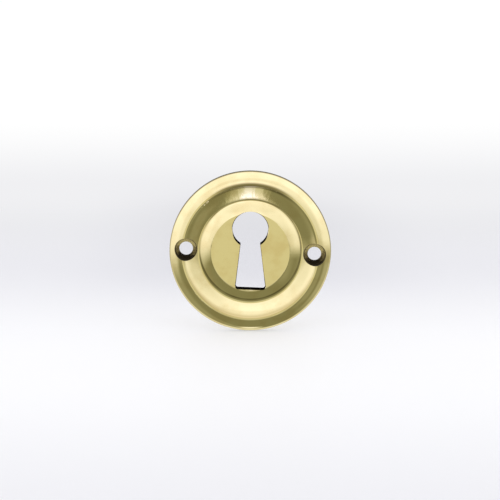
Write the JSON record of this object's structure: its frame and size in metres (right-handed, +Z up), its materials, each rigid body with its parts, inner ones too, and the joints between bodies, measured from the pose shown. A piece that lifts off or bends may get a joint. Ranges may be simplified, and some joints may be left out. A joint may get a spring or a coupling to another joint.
{
  "type": "keyhole escutcheon",
  "caption": "Round polished brass plate with a raised bead, a hollow dish and a flat boss, cut through by a keyhole and countersunk screw holes.",
  "frame": {"origin": "centre of the plate in the plane of its back, midway between the two screw holes", "axes": "the face looks along -Y, the head of the keyhole is up along +Z, the screw holes lie on the X axis"},
  "size_m": [0.045, 0.0034, 0.045],
  "materials": {
    "polished_brass": "polished"
  },
  "bodies": {
    "root": {"escutcheon_plate": "polished_brass"}
  },
  "joints": []
}
